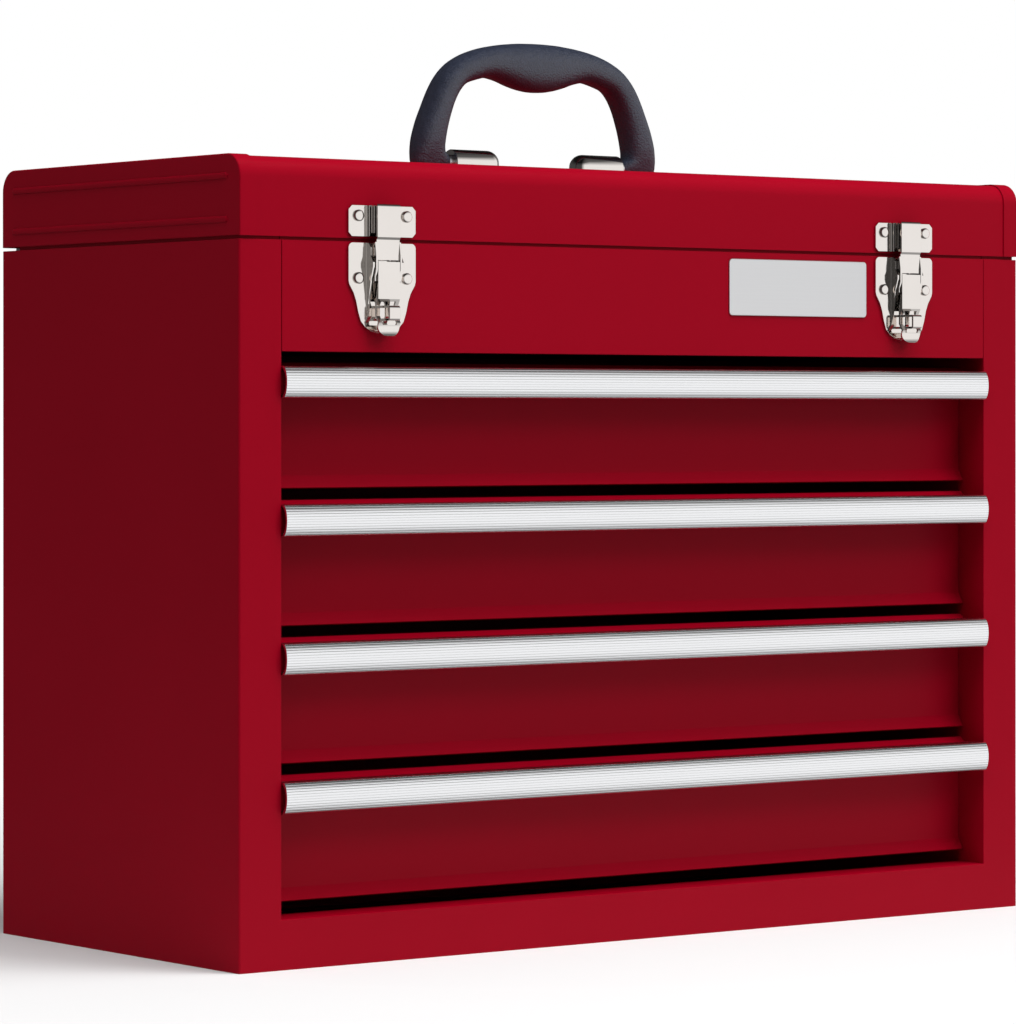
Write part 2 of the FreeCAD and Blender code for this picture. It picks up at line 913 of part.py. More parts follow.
ballLine = (mm.inner_half + mm.slide_half - mm.slide_steel) / 2
cageFront = slideFront + mm.cage_front_gap
cageBack = slideBack - mm.cage_back_gap
ballTotal = int(mm.ball_count.value)


def ballPlaces():
    first = cageFront + mm.ball_end
    pitch = (cageBack - mm.ball_end - first) / (mm.ball_count - 1)
    return [first + pitch * number for number in range(ballTotal)]


def ballCage(side, height):
    outer = runnerFace - mm.slide_steel - mm.cage_gap
    web = outer - mm.cage_steel
    ballX = trayHalf + mm.ball_reach
    reach = ballX - mm.cage_edge
    half = ballLine + mm.cage_steel / 2
    inner = ballLine - mm.cage_steel / 2
    section = mirrored([
        (outer, height - half), (outer, height + half),
        (reach, height + half), (reach, height + inner),
        (web, height + inner), (web, height - inner),
        (reach, height - inner), (reach, height - half),
    ], side)
    body = prism("XZ", [section], cageFront, cageBack)
    room = mm.ball_radius + mm.ball_clear
    windows = []
    balls = []
    for place in ballPlaces():
        low, high = ordered(side * (ballX - room), side * (ballX + room))
        windows.append(rectangle(low, place - room, high, place + room))
        for end in sides:
            balls.append(ball(mm.ball_radius, side * ballX, place, height + end * ballLine))
    pocketBetween(body, "XY", windows, height - half, height + half)
    return [body] + balls


cabinetMembers = []
for number in range(drawerTotal):
    pull = headerLow - mm.first_pull - drawerPitch * number
    slide = pull - slideDrop
    name = f"drawer_{number + 1}"
    node(drawerTray(pull), name + "_tray")
    node(drawerFront(pull), name + "_front")
    node(drawerPull(pull), name + "_pull")
    node(group([drawerMember(side, slide) for side in sides]), name + "_slide_members")
    node(group(ballCage(-1, slide) + ballCage(1, slide)), name + "_ball_cages")
    cabinetMembers += [cabinetMember(side, slide) for side in sides]
node(group(cabinetMembers), "cabinet_slide_members")


# Nameplate, left plain

plateLow = headerLow + mm.plate_low
plateRight = latchX - mm.latch_half - mm.plate_gap
plateMiddle = (plateRight - mm.plate_width / 2, plateLow + mm.plate_height / 2)
plateOutline = cutRectangle(*plateMiddle, mm.plate_width / 2, mm.plate_height / 2, mm.plate_cut)
node(prism("XZ", [plateOutline], front - mm.plate_thick, front), "nameplate")


# Draw latches. Out means towards the viewer from the cabinet's front face; the two latches are
# alike. The lever turns on a pivot across the base plate's cheeks, and carries the link, whose
# hook stands over the strike's bridge on the lid.

baseTop = mm.body_height - mm.base_top_gap
baseLow = baseTop - mm.base_height
strikeLow = lidLow + mm.strike_low
pivotY = front - mm.pivot_out
pivotZ = headerLow + mm.pivot_height
linkPinY = pivotY + mm.link_pin_in
linkPinZ = pivotZ - mm.link_pin_drop
pivotBore = (pivotY, pivotZ, mm.pivot_radius + mm.pin_clear)
linkBore = (linkPinY, linkPinZ, mm.link_pin_radius + mm.pin_clear)


def latchBase(x, name):
    radius = mm.base_round
    right = []
    left = []
    for across, up in base_outline_share:
        height = baseLow + mm.base_height * up
        right.append((x + mm.latch_half * across, height))
        left.append((x - mm.latch_half * across, height))
    outline = [
        (x + mm.latch_half, baseTop - radius, radius), (x + mm.latch_half - radius, baseTop),
        (x - mm.latch_half + radius, baseTop, radius), (x - mm.latch_half, baseTop - radius),
    ] + left + right[::-1]
    face = front - mm.latch_steel
    body = prism("XZ", [outline], face, front)
    rim = front - mm.cheek_rise
    boss = mm.cheek_boss
    cheek = [
        (face, baseTop), (face, baseTop - mm.cheek_length), (rim, pivotZ - 3 * boss),
        (pivotY - boss, pivotZ - boss / 2), (pivotY - boss, pivotZ + boss / 2),
        (rim, pivotZ + 2 * boss), (rim, baseTop - boss), (rim + boss, baseTop),
    ]
    for side in sides:
        low, high = ordered(x + side * mm.cheek_inner, x + side * (mm.cheek_inner + mm.latch_steel))
        padBetween(body, "YZ", [cheek], low, high)
        pocketBetween(body, "YZ", [pivotBore], low, high)
    return node(body, name)


def latchStaple(x, name):
    foot = front - mm.latch_steel
    tip = front - mm.staple_reach
    low = headerLow + mm.staple_low
    top = low + mm.staple_height
    bend = mm.staple_bend
    wall = mm.latch_steel
    section = [
        (foot, low), (foot, low + wall), (tip + wall, low + wall),
        (tip + wall, top - wall), (foot, top - wall), (foot, top),
        (tip + bend, top, bend), (tip, top - bend),
        (tip, low + bend, bend), (tip + bend, low),
    ]
    return node(prism("YZ", [section], x - mm.staple_half, x + mm.staple_half), name)


def latchLever(x, name):
    face = front - mm.lever_out
    wall = mm.latch_steel
    top = pivotZ + mm.lever_top
    low = pivotZ - mm.lever_bottom
    dipTop = pivotZ - mm.slot_top + wall
    dipLow = dipTop - mm.slot_height
    dip = face + mm.lever_dip
    kick = face - mm.lever_kick
    slope = 2 * mm.lever_dip
    # in section the face dips behind the staple's slot and kicks out to the finger tab
    section = [
        (face, top), (face, dipTop), (dip, dipTop - slope), (dip, dipLow + slope),
        (kick, dipLow), (kick, low), (kick + wall, low), (kick + wall, dipLow),
        (dip + wall, dipLow + slope), (dip + wall, dipTop - slope),
        (face + wall, dipTop), (face + wall, top),
    ]
    body = prism("YZ", [section], x - mm.lever_half, x + mm.lever_half)
    boss = mm.lever_boss
    rear = pivotY + boss
    cheek = [
        (face + wall, top), (face + wall, dipTop), (dip + wall, dipTop - slope),
        (rear, linkPinZ - mm.arm_boss), (rear, pivotZ + boss / 2),
        (pivotY + boss / 2, pivotZ + boss), (pivotY, pivotZ + boss),
    ]
    for side in sides:
        cheekLow, cheekHigh = ordered(x + side * (mm.lever_half - wall), x + side * mm.lever_half)
        padBetween(body, "YZ", [cheek], cheekLow, cheekHigh)
    pocketBetween(body, "YZ", [pivotBore, linkBore], x - mm.lever_half, x + mm.lever_half)
    slotTop = pivotZ - mm.slot_top
    slot = rectangle(x - mm.slot_half, slotTop - mm.slot_height, x + mm.slot_half, slotTop)
    pocketBetween(body, "XZ", [slot], kick, rear)
    corners = [(x + side * mm.lever_half, kick + wall / 2, low) for side in sides]
    roundEdges(body, mm.tab_round, corners)
    return node(body, name)


def latchLink(x, name):
    face = front - mm.lever_out
    wall = mm.latch_steel
    strap = face + mm.strap_joggle
    bottom = pivotZ + mm.strap_bottom
    joggle = pivotZ + mm.joggle_height
    spring = pivotZ + mm.hook_spring
    hookBack = front - mm.bridge_rise - mm.hook_gap
    bow = (hookBack - face) / 2
    crown = spring + bow
    hookLow = spring - mm.hook_leg
    inner = bow - wall
    section = [
        (strap, bottom), (strap + wall, bottom), (strap + wall, joggle), (face + wall, joggle + wall),
        (face + wall, spring, -inner), (face + bow, crown - wall, -inner), (hookBack - wall, spring),
        (hookBack - wall, hookLow), (hookBack, hookLow),
        (hookBack, spring, bow), (face + bow, crown, bow), (face, spring),
        (face, joggle + wall), (strap, joggle),
    ]
    body = prism("YZ", [section], x - mm.link_half, x + mm.link_half)
    # arms outside the lever's cheeks, cranked in front of the pivot down to the link pin
    boss = mm.arm_boss
    beforePivot = pivotY - mm.pivot_radius - mm.hook_gap
    arm = [
        (strap + wall, joggle - wall), (strap, joggle - wall), (face, bottom + 2 * wall),
        (face, linkPinZ + 2 * boss), (linkPinY - boss, linkPinZ + boss / 2),
        (linkPinY - boss, linkPinZ - boss / 2), (linkPinY - boss / 2, linkPinZ - boss),
        (linkPinY + boss / 2, linkPinZ - boss), (linkPinY + boss, linkPinZ - boss / 2),
        (linkPinY + boss, linkPinZ + boss / 2), (linkPinY + boss / 2, linkPinZ + boss),
        (beforePivot, linkPinZ + 2 * boss), (beforePivot, bottom + mm.strap_joggle),
        (strap + wall, bottom + mm.strap_joggle),
    ]
    reach = mm.arm_inner + mm.arm_steel
    for side in sides:
        low, high = ordered(x + side * mm.arm_inner, x + side * reach)
        padBetween(body, "YZ", [arm], low, high)
    pocketBetween(body, "YZ", [linkBore], x - reach, x + reach)
    return node(body, name)


def latchStrike(x, name):
    low = strikeLow
    high = low + mm.strike_height
    wall = mm.latch_steel
    raised = front - mm.bridge_rise
    section = [
        (x - mm.latch_half, front), (x - mm.latch_half, front - wall),
        (x - mm.bridge_half, front - wall), (x - mm.bridge_half, raised),
        (x + mm.bridge_half, raised), (x + mm.bridge_half, front - wall),
        (x + mm.latch_half, front - wall), (x + mm.latch_half, front),
        (x + mm.bridge_half - wall, front), (x + mm.bridge_half - wall, raised + wall),
        (x - mm.bridge_half + wall, raised + wall), (x - mm.bridge_half + wall, front),
    ]
    body = prism("XY", [section], low, high)
    corners = []
    for side in sides:
        for height in (low, high):
            corners.append((x + side * mm.latch_half, front - wall / 2, height))
    flattenEdges(body, mm.strike_round, corners)
    return node(body, name)


def pivotPin(x):
    reach = mm.cheek_inner + mm.latch_steel
    return rod(mm.pivot_radius, x - reach, x + reach, pivotY, pivotZ)


def linkPin(x):
    reach = mm.arm_inner + mm.arm_steel
    return rod(mm.link_pin_radius, x - reach, x + reach, linkPinY, linkPinZ)


for side, word in zip(sides, ("left", "right")):
    x = side * latchX
    latchBase(x, "latch_base_" + word)
    latchStaple(x, "latch_staple_" + word)
    latchLever(x, "latch_lever_" + word)
    latchLink(x, "latch_link_" + word)
    latchStrike(x, "latch_strike_" + word)
    node(linkPin(x), "latch_link_pin_" + word)
node(group([pivotPin(side * latchX) for side in sides]), "latch_pivot_pins")


# Carrying handle: a moulded bail on two steel rods, which turn in plated brackets on the lid

axisZ = lidTop + mm.bracket_radius
handleY = -mm.handle_y
footAcross, footUp, footThick = bail_station_share[1]
footInner = mm.handle_half * footAcross - mm.grip_across * footThick
bracketOuter = footInner - mm.bracket_gap
bracketInner = bracketOuter - mm.bracket_length
rodInner = bracketInner + mm.rod_inset
rodOuter = mm.handle_half + mm.rod_past


def bailStations():
    # centre line and thickness of the bail from one foot to the other, feet upright
    stations = [(-across, up, thick) for across, up, thick in bail_station_share]
    stations += bail_station_share[-2::-1]
    points = [Vector(mm.handle_half.value * across, mm.handle_rise.value * up, 0)
              for across, up, thick in stations]
    result = []
    for place, (across, up, thick) in enumerate(stations):
        run = points[min(place + 1, len(points) - 1)] - points[max(place - 1, 0)]
        if up < foot_share:
            run = Vector(0, -across, 0)
        run.normalize()
        result.append((mm.handle_half * across, axisZ + mm.handle_rise * up, mm.grip_across * thick, run))
    return result


def handleGrip():
    outer = [(x - half * run.y, z + half * run.x) for x, z, half, run in bailStations()]
    inner = [(x + half * run.y, z - half * run.x) for x, z, half, run in bailStations()]
    faces = (handleY - mm.grip_deep, handleY + mm.grip_deep)
    outline = outer + inner[::-1]
    body = prism("XZ", [outline], *faces)
    rims = []
    for place, (x, z) in enumerate(outline):
        nextX, nextZ = outline[(place + 1) % len(outline)]
        for face in faces:
            rims.append(((x + nextX) / 2, face, (z + nextZ) / 2))
    flattenEdges(body, mm.grip_cut, rims)
    # each foot narrows to its lower end
    shoulder = axisZ + mm.foot_rise
    toe = axisZ - mm.handle_rise
    for side in sides:
        wedge = [
            (handleY + side * mm.grip_deep * 2, toe), (handleY + side * mm.foot_toe, toe),
            (handleY + side * mm.foot_toe, axisZ - mm.foot_drop), (handleY + side * mm.foot_deep, axisZ),
            (handleY + side * mm.grip_deep, shoulder), (handleY + side * mm.grip_deep * 2, shoulder),
        ]
        pocketBetween(body, "YZ", [wedge], -halfWidth, halfWidth)
    pocketBetween(body, "YZ", [(handleY, axisZ, mm.rod_radius)], -rodOuter, rodOuter)
    return node(body, "handle_grip")


def handleBracket(side, name):
    # half round above, flat below, bored from its outer end for the rod
    radius = mm.bracket_radius
    section = [
        (handleY - radius, lidTop), (handleY + radius, lidTop),
        (handleY + radius, axisZ, radius), (handleY, axisZ + radius, radius),
        (handleY - radius, axisZ),
    ]
    inner = side * bracketInner
    outer = side * bracketOuter
    body = prism("YZ", [section], *ordered(inner, outer))
    boreEnd = side * (rodInner - mm.seat_gap)
    bore = (handleY, axisZ, mm.rod_radius + mm.pin_clear)
    pocketBetween(body, "YZ", [bore], *ordered(boreEnd, outer))
    return node(body, name)


handleGrip()
handleBracket(-1, "handle_bracket_left")
handleBracket(1, "handle_bracket_right")
rods = []
for side in sides:
    near, far = ordered(side * rodInner, side * rodOuter)
    rods.append(rod(mm.rod_radius, near, far, handleY, axisZ))
node(group(rods), "handle_rods")


doc.recompute()
for thing in doc.Objects:
    if "Invalid" in thing.State or "Error" in thing.State:
        owner = thing.getParentGeoFeatureGroup()
        raise RuntimeError(f"failed: {thing.Label} of {owner.Label if owner else doc.Label}")
for thing in nodes:
    if thing.Shape.isNull() or not thing.Shape.isValid():
        raise RuntimeError("bad shape: " + thing.Label)

os.makedirs("parts", exist_ok=True)
for thing in nodes:
    thing.Shape.exportStep(f"parts/{thing.Label}.step")
print(len(nodes), "nodes,", sum(len(thing.Shape.Solids) for thing in nodes), "solids")
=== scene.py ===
import json
import math
import bmesh
import bpy
import numpy as np
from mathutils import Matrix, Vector


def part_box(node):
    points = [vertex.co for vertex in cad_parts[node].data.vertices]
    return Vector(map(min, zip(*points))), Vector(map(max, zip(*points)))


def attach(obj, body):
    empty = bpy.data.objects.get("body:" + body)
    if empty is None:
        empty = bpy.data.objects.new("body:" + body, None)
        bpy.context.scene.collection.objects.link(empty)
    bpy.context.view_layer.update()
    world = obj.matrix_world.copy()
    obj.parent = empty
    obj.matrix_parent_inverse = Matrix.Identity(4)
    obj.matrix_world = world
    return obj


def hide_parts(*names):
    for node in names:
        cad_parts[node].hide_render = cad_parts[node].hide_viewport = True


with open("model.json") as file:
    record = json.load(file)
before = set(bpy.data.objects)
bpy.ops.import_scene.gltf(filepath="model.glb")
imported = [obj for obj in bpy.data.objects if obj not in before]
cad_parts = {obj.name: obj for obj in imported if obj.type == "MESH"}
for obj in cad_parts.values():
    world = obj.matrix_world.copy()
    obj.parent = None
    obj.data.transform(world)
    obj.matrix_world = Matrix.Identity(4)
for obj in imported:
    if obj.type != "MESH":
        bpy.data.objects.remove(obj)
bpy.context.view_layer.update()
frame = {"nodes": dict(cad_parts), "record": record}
nodes = frame["nodes"]
slotOf = {part["node"]: part["material_slot"] for part in frame["record"]["subparts"]}
print("frame loaded:", len(nodes), "nodes")

mm = 0.001
sides = {"left": -1, "right": 1}
drawers = range(1, 5)
mergeDistance = 2e-6
cornerShare = 0.48  # how much of a run one corner's bend may take


# Lines and outlines in a plane

def smoothLine(points, count):
    # a cubic between each two points; its slope at a point is half the step between its neighbours
    points = np.asarray(points, float)
    padded = np.vstack([2 * points[0] - points[1], points, 2 * points[-1] - points[-2]])
    place = np.linspace(0, len(points) - 1, count)
    index = np.minimum(place.astype(int), len(points) - 2)
    t = (place - index)[:, None]
    a, b, c, d = (padded[index + step] for step in range(4))
    curve = 2 * b + (c - a) * t + (2 * a - 5 * b + 4 * c - d) * t ** 2
    return 0.5 * (curve + (3 * b - a - 3 * c + d) * t ** 3)


def arcBend(before, corner, after, radius, steps):
    # the arc that turns a corner, no wider than its runs allow: each point is the first and the
    # last radius, weighted by the sines of the angles still to go and already gone
    inward = before - corner
    outward = after - corner
    room = cornerShare * min(np.linalg.norm(inward), np.linalg.norm(outward))
    inward = inward / np.linalg.norm(inward)
    outward = outward / np.linalg.norm(outward)
    half = 0.5 * math.acos(np.clip(inward @ outward, -1, 1))
    reach = min(radius / math.tan(half), room)
    bend = reach * math.tan(half)
    middle = inward + outward
    centre = corner + middle / np.linalg.norm(middle) * bend / math.sin(half)
    start = (corner + inward * reach - centre) / bend
    end = (corner + outward * reach - centre) / bend
    turn = math.pi - 2 * half
    share = np.linspace(0, 1, steps)[:, None]
    weighted = np.sin((1 - share) * turn) * start + np.sin(share * turn) * end
    return centre + bend * weighted / math.sin(turn)


def roundedLine(points, radius, steps=6):
    # an open line whose corners are turned with arcs
    points = np.asarray(points, float)
    line = [points[:1]]
    for before, corner, after in zip(points, points[1:], points[2:]):
        line.append(arcBend(before, corner, after, radius, steps))
    return np.vstack(line + [points[-1:]])


def roundedPlate(halfX, halfZ, radius, steps=10):
    # outline of a rounded rectangle about the origin: a quarter circle, turned and moved to each
    # corner
    turn = np.linspace(0, math.pi / 2, steps)
    corner = np.stack([np.cos(turn), np.sin(turn)], axis=1) * radius
    quarters = []
    for quarter, (x, z) in enumerate(((1, 1), (-1, 1), (-1, -1), (1, -1))):
        spin = quarter * math.pi / 2
        matrix = np.array([[math.cos(spin), -math.sin(spin)], [math.sin(spin), math.cos(spin)]])
        quarters.append(corner @ matrix.T + (x * (halfX - radius), z * (halfZ - radius)))
    return np.vstack(quarters)


def sheetSection(line, thickness):
    # closed section of a sheet: the line, and the same line moved along its left normals
    run = np.gradient(line, axis=0)
    run /= np.linalg.norm(run, axis=1)[:, None]
    left = np.stack([-run[:, 1], run[:, 0]], axis=1)
    return np.vstack([line, (line + left * thickness)[::-1]])


# Meshes from grids of points

def newObject(name, mesh, material):
    made = bpy.data.objects.new(name, mesh)
    bpy.context.scene.collection.objects.link(made)
    mesh.materials.clear()
    mesh.materials.append(material)
    return made


def gridFaces(across, along):
    # quads between neighbours: a point, the next on its ring, and the same two on the next ring
    row, column = np.meshgrid(np.arange(along - 1), np.arange(across), indexing="ij")
    nextColumn = (column + 1) % across
    corners = (row * across + column, row * across + nextColumn,
               (row + 1) * across + nextColumn, (row + 1) * across + column)
    return np.stack(corners, axis=-1).reshape(-1, 4).tolist()


def tube(name, grid, material, smoothAngle=35):
    # rings of points as a skin, each end closed with one face
    along, across = grid.shape[:2]
    faces = gridFaces(across, along)
    faces.append(list(range(across))[::-1])
    faces.append(list(range((along - 1) * across, along * across)))
    mesh = bpy.data.meshes.new(name)
    mesh.from_pydata(grid.reshape(-1, 3).tolist(), [], faces)
    work = bmesh.new()
    work.from_mesh(mesh)
    bmesh.ops.remove_doubles(work, verts=work.verts, dist=mergeDistance)
    bmesh.ops.dissolve_degenerate(work, edges=work.edges, dist=1e-7)
    bmesh.ops.recalc_face_normals(work, faces=work.faces)
    limit = math.radians(smoothAngle)
    for edge in work.edges:
        edge.smooth = edge.calc_face_angle(0) < limit
    for face in work.faces:
        face.smooth = True
        if len(face.edges) > 4:
            for edge in face.edges:
                edge.smooth = False
    work.to_mesh(mesh)
    work.free()
    return newObject(name, mesh, material)


def runAlongX(section, places):
    # the same (y, z) section at each x: a straight extrusion along X
    grid = np.empty((len(places), len(section), 3))
    grid[:, :, 0] = np.asarray(places)[:, None]
    grid[:, :, 1:] = section
    return grid


def joined(pieces, name):
    # several pieces as one object
    first = pieces[0]
    with bpy.context.temp_override(active_object=first, selected_editable_objects=pieces):
        bpy.ops.object.join()
    first.name = name
    return first


def softened(node, width, material, angle=20):
    # a merged copy of a CAD piece with softened edges and flat faces kept flat
    made = newObject(node + "_skin", nodes[node].data.copy(), material)
    work = bmesh.new()
    work.from_mesh(made.data)
    bmesh.ops.remove_doubles(work, verts=work.verts, dist=mergeDistance)
    bmesh.ops.dissolve_limit(work, angle_limit=math.radians(0.5), verts=work.verts,
                             edges=work.edges)
    for face in work.faces:
        face.smooth = True
    work.to_mesh(made.data)
    work.free()
    bevel = made.modifiers.new("Bevel", "BEVEL")
    bevel.width = width
    bevel.segments = 2
    bevel.limit_method = "ANGLE"
    bevel.angle_limit = math.radians(angle)
    bevel.miter_outer = "MITER_ARC"
    weighted = made.modifiers.new("Normals", "WEIGHTED_NORMAL")
    weighted.weight = 100
    return made


def dress(piece, body, slot, *replaced):
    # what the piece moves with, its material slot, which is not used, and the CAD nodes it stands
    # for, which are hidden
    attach(piece, body)
    if replaced:
        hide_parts(*replaced)
    return piece


# Materials

def newMaterial(name):
    material = bpy.data.materials.new(name)
    material.use_nodes = True
    tree = material.node_tree
    tree.nodes.clear()
    output = tree.nodes.new("ShaderNodeOutputMaterial")
    shader = tree.nodes.new("ShaderNodeBsdfPrincipled")
    tree.links.new(shader.outputs[0], output.inputs[0])
    return material, tree, shader


def newGroup(name, inputs, outputs):
    group = bpy.data.node_groups.new(name, "ShaderNodeTree")
    for title, kind, value in inputs:
        socket = group.interface.new_socket(title, in_out="INPUT", socket_type=kind)
        if value is not None:
            socket.default_value = value
    for title, kind in outputs:
        group.interface.new_socket(title, in_out="OUTPUT", socket_type=kind)
    return group, group.nodes.new("NodeGroupInput"), group.nodes.new("NodeGroupOutput")


def addNode(tree, kind, **settings):
    made = tree.nodes.new(kind)
    for key, value in settings.items():
        setattr(made, key, value)
    return made


def surfaceGrain():
    # grain of a coat or a moulding, and a slow drift over the surface, from two noises
    group, entry, leave = newGroup(
        "surfaceGrain",
        [("Vector", "NodeSocketVector", None), ("Fine Scale", "NodeSocketFloat", 900.0),
         ("Coarse Scale", "NodeSocketFloat", 60.0)],
        [("Height", "NodeSocketFloat"), ("Drift", "NodeSocketFloat")])
    for scale, detail, result in (("Fine Scale", 2, "Height"), ("Coarse Scale", 3, "Drift")):
        noise = addNode(group, "ShaderNodeTexNoise")
        noise.inputs["Detail"].default_value = detail
        group.links.new(entry.outputs["Vector"], noise.inputs["Vector"])
        group.links.new(entry.outputs[scale], noise.inputs["Scale"])
        group.links.new(noise.outputs["Fac"], leave.inputs[result])
    return group


def drawnLines():
    # fine lines along X, as drawing or brushing leaves them: a noise stretched along X
    group, entry, leave = newGroup(
        "drawnLines",
        [("Vector", "NodeSocketVector", None), ("Scale", "NodeSocketFloat", 1500.0)],
        [("Lines", "NodeSocketFloat")])
    stretch = addNode(group, "ShaderNodeVectorMath", operation="MULTIPLY")
    stretch.inputs[1].default_value = (0.012, 1, 1)
    noise = addNode(group, "ShaderNodeTexNoise")
    noise.inputs["Detail"].default_value = 3
    group.links.new(entry.outputs["Vector"], stretch.inputs[0])
    group.links.new(stretch.outputs[0], noise.inputs["Vector"])
    group.links.new(entry.outputs["Scale"], noise.inputs["Scale"])
    group.links.new(noise.outputs["Fac"], leave.inputs["Lines"])
    return group


grainGroup = surfaceGrain()
linesGroup = drawnLines()


def useGroup(tree, group, **scales):
    # a node group on Object coordinates, with its scales
    made = addNode(tree, "ShaderNodeGroup", node_tree=group)
    place = addNode(tree, "ShaderNodeTexCoord")
    tree.links.new(place.outputs["Object"], made.inputs["Vector"])
    for title, value in scales.items():
        made.inputs[title.replace("_", " ")].default_value = value
    return made


def spread(tree, source, fromRange, toRange):
    # maps one range of values to another
    made = addNode(tree, "ShaderNodeMapRange")
    tree.links.new(source, made.inputs["Value"])
    made.inputs["From Min"].default_value, made.inputs["From Max"].default_value = fromRange
    made.inputs["To Min"].default_value, made.inputs["To Max"].default_value = toRange
    return made.outputs["Result"]


def colourBetween(tree, share, first, second):
    mix = addNode(tree, "ShaderNodeMix", data_type="RGBA")
    mix.inputs[6].default_value = (*first, 1)
    mix.inputs[7].default_value = (*second, 1)
    tree.links.new(share, mix.inputs[0])
    return mix.outputs[2]


def addBump(tree, shader, height, strength, distance):
    bump = addNode(tree, "ShaderNodeBump")
    bump.inputs["Strength"].default_value = strength
    bump.inputs["Distance"].default_value = distance
    tree.links.new(height, bump.inputs["Height"])
    tree.links.new(bump.outputs["Normal"], shader.inputs["Normal"])


def finished(name, values, group, colourShare, heightShare, **scales):
    # colour and roughness drift between two values, and a fine bump lies over them
    material, tree, shader = newMaterial(name)
    detail = useGroup(tree, group, **scales)
    colour = colourBetween(tree, detail.outputs[colourShare], values["dark"], values["light"])
    tree.links.new(colour, shader.inputs["Base Color"])
    rough = values["rough"]
    roughness = spread(tree, detail.outputs[colourShare], (0, 1), (rough * 0.88, rough * 1.12))
    tree.links.new(roughness, shader.inputs["Roughness"])
    shader.inputs["Metallic"].default_value = values.get("metal", 0)
    shader.inputs["Specular IOR Level"].default_value = values.get("specular", 0.5)
    addBump(tree, shader, detail.outputs[heightShare], values["bump"], values["depth"])
    return material


def grained(name, values):
    return finished(name, values, grainGroup, "Drift", "Height",
                    Fine_Scale=values["fine"], Coarse_Scale=values["coarse"])


def drawn(name, values):
    return finished(name, values, linesGroup, "Lines", "Lines", Scale=values["scale"])


redPaint = grained("redPaint", {
    "dark": (0.272, 0.0003, 0.0092), "light": (0.300, 0.0006, 0.0112),
    "rough": 0.42, "specular": 0.07, "fine": 750, "coarse": 8, "bump": 0.05, "depth": 0.0004})
zincPlate = grained("zincPlate", {
    "dark": (0.50, 0.51, 0.53), "light": (0.68, 0.69, 0.71),
    "rough": 0.32, "metal": 1, "fine": 400, "coarse": 70, "bump": 0.04, "depth": 0.0003})
brightPlate = grained("brightPlate", {
    "dark": (0.78, 0.735, 0.70), "light": (0.83, 0.785, 0.75),
    "rough": 0.07, "metal": 1, "fine": 260, "coarse": 40, "bump": 0.008, "depth": 0.0003})
blackPlastic = grained("blackPlastic", {
    "dark": (0.012, 0.015, 0.026), "light": (0.034, 0.040, 0.064),
    "rough": 0.44, "specular": 0.8, "fine": 1100, "coarse": 420, "bump": 0.7, "depth": 0.0006})
drawnAluminium = drawn("drawnAluminium", {
    "dark": (0.86, 0.865, 0.88), "light": (0.92, 0.925, 0.94),
    "rough": 0.25, "metal": 1, "scale": 1600, "bump": 0.015, "depth": 0.0002})
plateAluminium = drawn("plateAluminium", {
    "dark": (0.69, 0.69, 0.70), "light": (0.74, 0.74, 0.75),
    "rough": 0.42, "metal": 1, "scale": 2200, "bump": 0.04, "depth": 0.0001})
materialOf = {"red_paint": redPaint, "inner_steel": redPaint, "zinc_steel": zincPlate,
              "bright_plating": brightPlate, "pull_aluminium": drawnAluminium,
              "plate_aluminium": plateAluminium, "black_plastic": blackPlastic}
print("materials made")


# Sheet pieces that keep their CAD shape, with softened edges

sheetPiece = {
    "edge": 0.22 * mm, "seamEdge": 0.10 * mm,
    "cabinet": ("cabinet_shell", "back_panel", "bottom_panel", "compartment_floor",
                "left_runner_panel", "right_runner_panel"),
}
for node in sheetPiece["cabinet"]:
    dress(softened(node, sheetPiece["edge"], redPaint), "cabinet", slotOf[node], node)
header = softened("header_panel", sheetPiece["seamEdge"], redPaint)
dress(header, "cabinet", "red_paint", "header_panel")
for number in drawers:
    node = f"drawer_{number}_tray"
    dress(softened(node, sheetPiece["edge"], redPaint), f"drawer_{number}", "red_paint", node)


# Upstand under the lid, carried on round the cabinet's front corners

upstandPiece = {"rise": 8 * mm, "inset": 1.8 * mm, "ledge": 0.7 * mm, "steel": 0.8 * mm,
                "along": 13.48 * mm, "across": 9.98 * mm}


def upstandCorner(word):
    # the upstand's section at three places: on the side, mitred at the corner, and on the front,
    # each point a place on the outline plus its distance times the way inward
    values = upstandPiece
    side = sides[word]
    low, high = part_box("cabinet_shell")
    edge = high.x if side > 0 else low.x
    rise, inset, steel = values["rise"], values["inset"], values["steel"]
    section = np.array([(values["ledge"], -steel), (values["ledge"], 0), (inset, 0),
                        (inset, rise), (inset + steel, rise), (inset + steel, -steel)])
    outline = np.array([(edge, low.y + values["along"]), (edge, low.y),
                        (edge - side * values["across"], low.y)])
    inward = np.array([(-side, 0), (-side, 1), (0, 1)])
    grid = np.empty((len(outline), len(section), 3))
    grid[:, :, :2] = outline[:, None] + inward[:, None] * section[:, :1]
    grid[:, :, 2] = high.z - rise + section[:, 1]
    dress(tube("upstand_corner_" + word, grid, redPaint), "cabinet", "red_paint")


for word in sides:
    upstandCorner(word)


# Lid: a cover bent over from front skirt to back skirt, and end caps that wrap it, with beads

lidPiece = {"round": 10.5 * mm, "steel": 0.8 * mm, "capSteel": 0.7 * mm, "edge": 0.7 * mm,
            "steps": 14, "rounding": 5, "beadWidth": 3.2 * mm, "beadProud": 0.8 * mm,
            "beadMargin": 10.7 * mm, "beadHeights": (8 * mm, 28.9 * mm), "beadRings": 8,
            "beadTop": 0.95, "beadFullness": 0.7}


